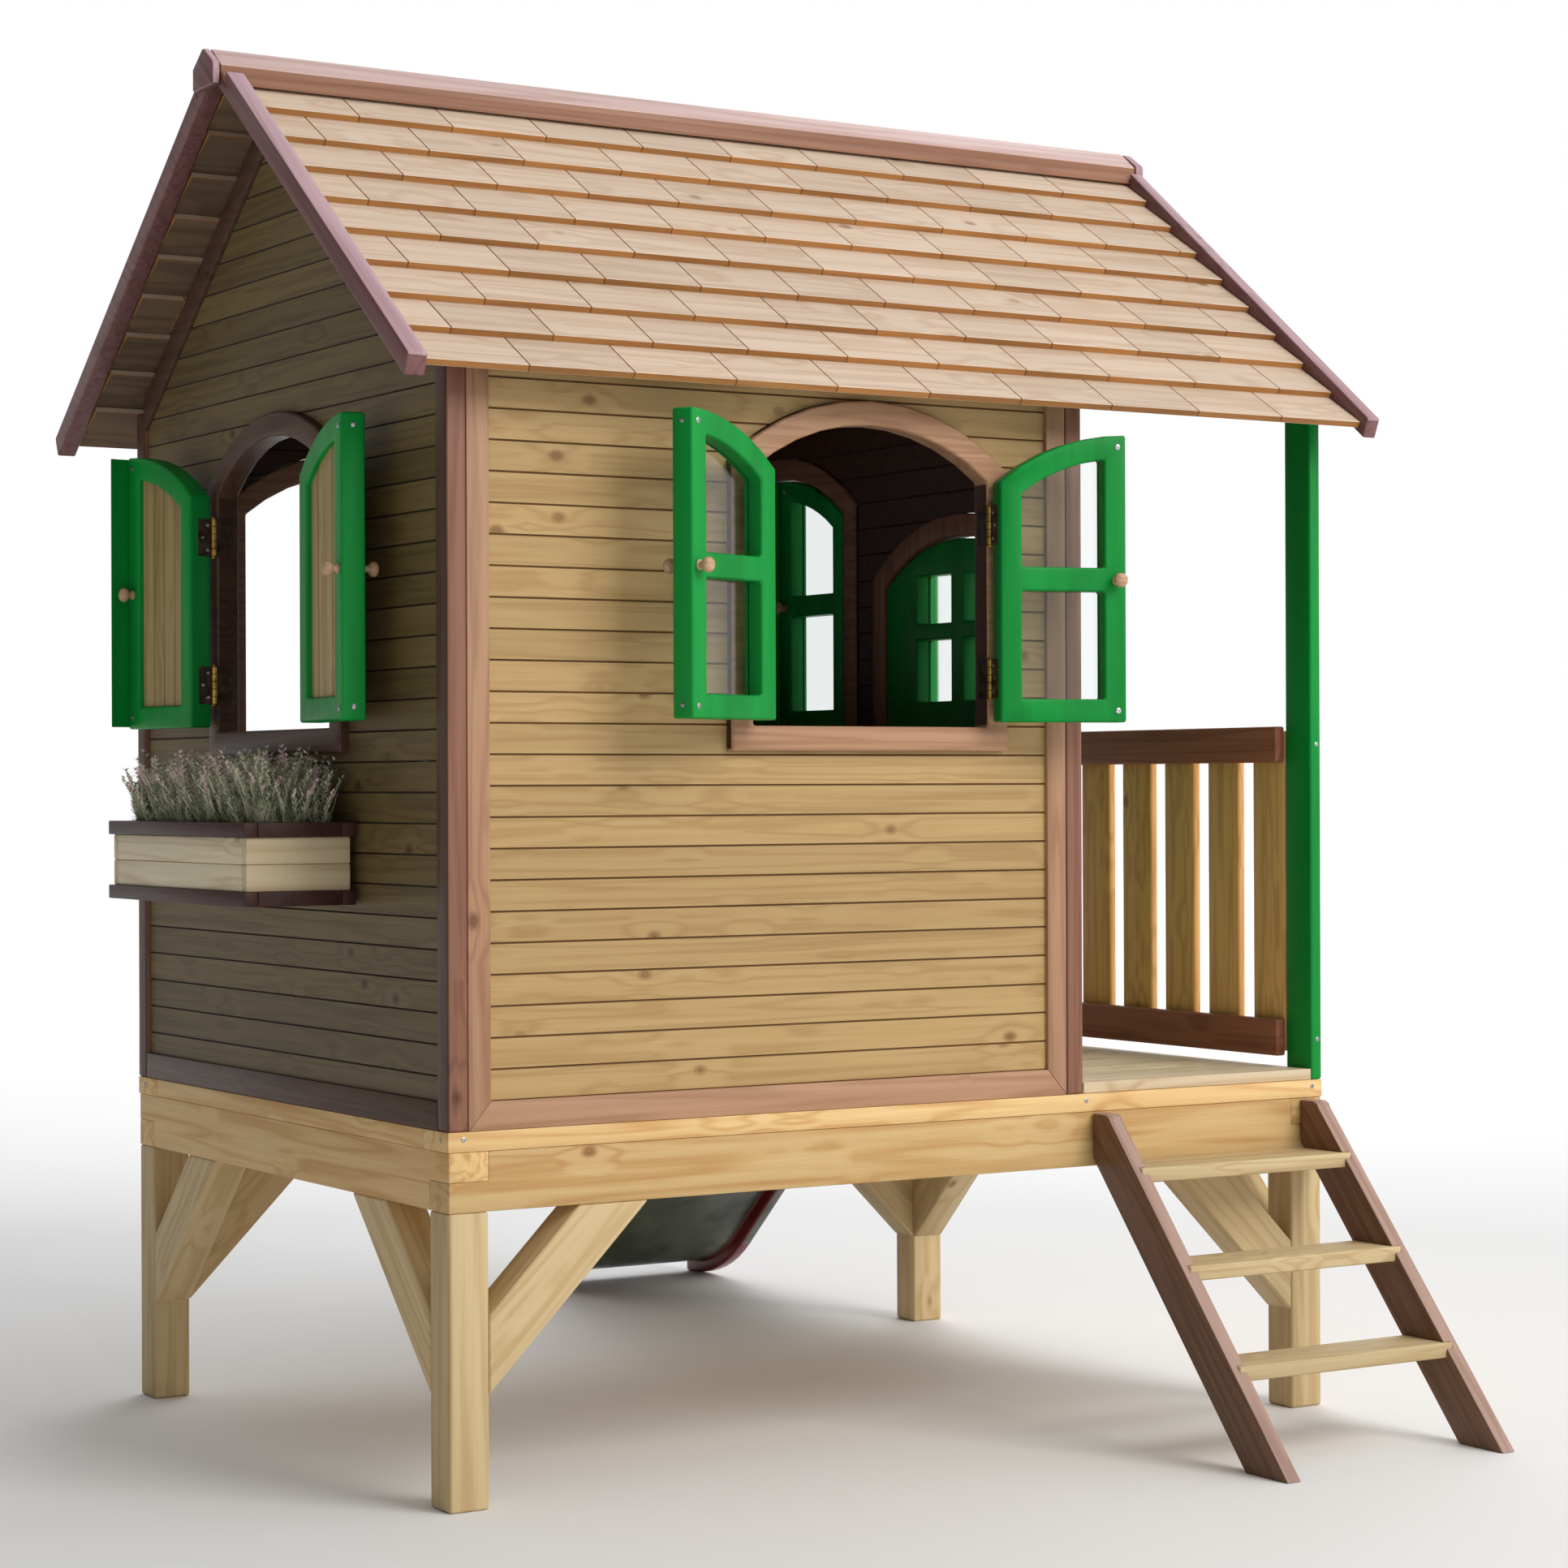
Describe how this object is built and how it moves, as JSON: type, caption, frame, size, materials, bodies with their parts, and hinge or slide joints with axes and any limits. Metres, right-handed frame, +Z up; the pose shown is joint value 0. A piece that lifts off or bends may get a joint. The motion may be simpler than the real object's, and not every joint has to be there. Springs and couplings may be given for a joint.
{
  "type": "wooden playhouse on legs",
  "caption": "Small wooden playhouse raised on braced legs, with shuttered arched windows, a veranda, stairs, a planter and a slide.",
  "frame": {"origin": "middle of the footprint, stairs, slide and planter included, at ground level", "axes": "+X along the long front wall towards the veranda, +Y from the front (stairs) to the rear (slide), +Z up"},
  "size_m": [2.059, 2.716, 2.411],
  "materials": {
    "pine": "sawn and planed pine, clear",
    "siding": "stained tongue-and-groove boards",
    "brown_stain": "satin brown stain",
    "roof_board": "pale lapped boards",
    "ridge_stain": "satin brown-mauve stain",
    "tread_wood": "planed pine, clear",
    "slat_wood": "stained slats between brown rails",
    "planter_wood": "pale planks between brown rims",
    "green_stain": "satin green paint",
    "glazing": "clear",
    "slide_plastic": "glossy dark red",
    "hinge_metal": "aged brass",
    "knob_wood": "turned and lacquered",
    "screw_steel": "zinc",
    "soil": "dark loose soil",
    "heather": "dry heather sprigs"
  },
  "bodies": {
    "house": {"bottom_tread": "tread_wood", "door_surround": "brown_stain", "floor": "tread_wood", "front_beam": "pine", "front_left_corner_post": "brown_stain", "front_left_cross_brace": "pine", "front_left_leg": "pine", "front_left_long_brace": "pine", "front_right_corner_post": "brown_stain", "front_right_cross_brace": "pine", "front_right_leg": "pine", "front_right_long_brace": "pine", "front_roof": "roof_board", "front_veranda_post": "green_stain", "front_wall": "siding", "front_window_surround": "brown_stain", "left_bargeboard": "ridge_stain", "left_beam": "pine", "left_ridge_block": "ridge_stain", "left_stringer": "brown_stain", "left_wall": "siding", "left_window_surround": "brown_stain", "middle_tread": "tread_wood", "planter": "planter_wood", "platform_frame": "pine", "rear_beam": "pine", "rear_left_corner_post": "brown_stain", "rear_left_cross_brace": "pine", "rear_left_leg": "pine", "rear_left_long_brace": "pine", "rear_right_corner_post": "brown_stain", "rear_right_cross_brace": "pine", "rear_right_leg": "pine", "rear_right_long_brace": "pine", "rear_roof": "roof_board", "rear_veranda_post": "green_stain", "rear_wall": "siding", "rear_window_surround": "brown_stain", "ridge_cap": "ridge_stain", "right_bargeboard": "ridge_stain", "right_beam": "pine", "right_ridge_block": "ridge_stain", "right_stringer": "brown_stain", "slide": "slide_plastic", "top_tread": "tread_wood", "veranda_railing": "slat_wood", "veranda_wall": "siding", "veranda_window_surround": "brown_stain"},
    "front_left_casement": {"front_left_casement": "green_stain", "front_left_casement_pane": "glazing"},
    "front_right_casement": {"front_right_casement": "green_stain", "front_right_casement_pane": "glazing"},
    "rear_shutter": {"rear_shutter": "green_stain"},
    "front_shutter": {"front_shutter": "green_stain"},
    "front_veranda_sash": {"front_veranda_sash": "green_stain", "front_veranda_sash_pane": "glazing"},
    "rear_veranda_sash": {"rear_veranda_sash": "green_stain", "rear_veranda_sash_pane": "glazing"},
    "door": {"door": "green_stain", "door_pane": "glazing"}
  },
  "joints": [
    {"name": "front_left_casement_hinge", "type": "hinge", "parent": "house", "child": "front_left_casement", "pos_m": [-0.2695, -0.848, 1.5], "axis": [0, 0, -1], "range_deg": [-157, 15]},
    {"name": "front_right_casement_hinge", "type": "hinge", "parent": "house", "child": "front_right_casement", "pos_m": [0.2045, -0.848, 1.5], "axis": [0, 0, 1], "range_deg": [-165, 7]},
    {"name": "rear_shutter_hinge", "type": "hinge", "parent": "house", "child": "rear_shutter", "pos_m": [-0.8455, 0.066, 1.5], "axis": [0, 0, -1], "range_deg": [-173, 4]},
    {"name": "front_shutter_hinge", "type": "hinge", "parent": "house", "child": "front_shutter", "pos_m": [-0.8455, -0.408, 1.5], "axis": [0, 0, 1], "range_deg": [-173, 4]},
    {"name": "front_veranda_sash_hinge", "type": "hinge", "parent": "house", "child": "front_veranda_sash", "pos_m": [0.4295, -0.107, 1.5], "axis": [0, 0, -1], "range_deg": [0, 95]},
    {"name": "rear_veranda_sash_hinge", "type": "hinge", "parent": "house", "child": "rear_veranda_sash", "pos_m": [0.4295, 0.367, 1.5], "axis": [0, 0, 1], "range_deg": [0, 95]},
    {"name": "door_hinge", "type": "hinge", "parent": "house", "child": "door", "pos_m": [0.4295, -0.724, 1.1], "axis": [0, 0, -1], "range_deg": [0, 110]}
  ]
}
